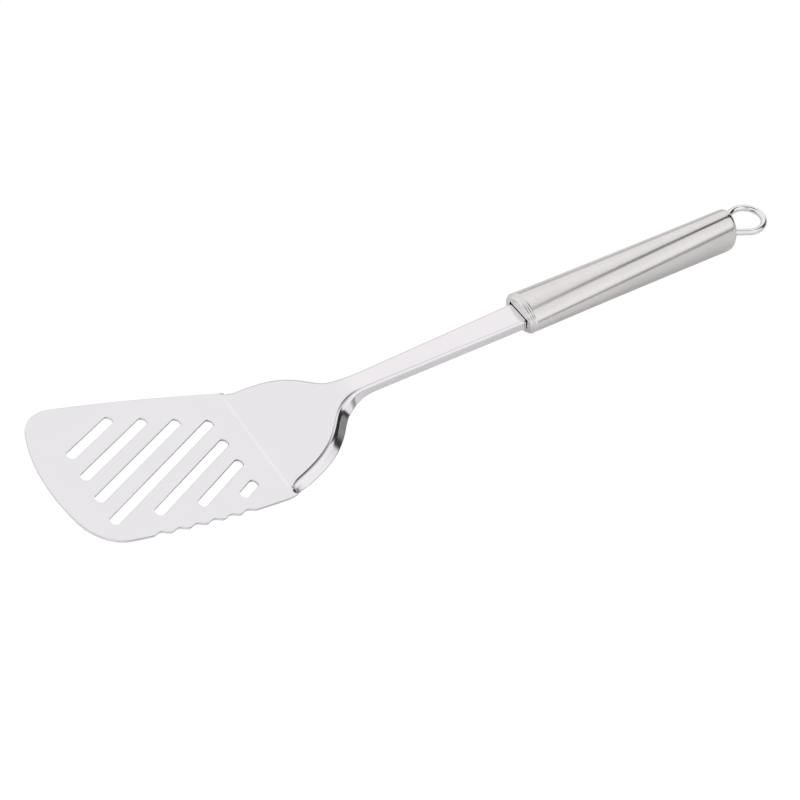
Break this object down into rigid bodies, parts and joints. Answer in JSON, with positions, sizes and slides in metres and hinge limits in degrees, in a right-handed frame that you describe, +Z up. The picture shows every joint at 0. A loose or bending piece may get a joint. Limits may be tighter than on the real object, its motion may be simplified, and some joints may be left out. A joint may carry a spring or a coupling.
{
  "type": "fish spatula",
  "caption": "Stainless turner with a slotted blade, one serrated edge, a skirted ramp and channel shank, a hollow oval handle and a wire hanging loop.",
  "frame": {"origin": "middle of the bounding box at the table, with the tool lying on the skirts of its ramp and the rear end of its handle", "axes": "+X from the blade's front edge to the hanging loop, -Y towards the serrated edge, +Z up from the table"},
  "size_m": [0.3566, 0.0808, 0.0482],
  "materials": {
    "sheet": "satin stainless sheet",
    "tube": "brushed round the handle",
    "polished": "polished stainless",
    "wire": "polished stainless wire",
    "weld": "dull weld bead"
  },
  "bodies": {
    "root": {"blade_and_shank": "sheet", "handle_tube": "tube", "front_cap": "polished", "rear_cap": "tube", "hanging_loop": "wire", "shank_weld": "weld", "loop_weld": "weld"}
  },
  "joints": []
}
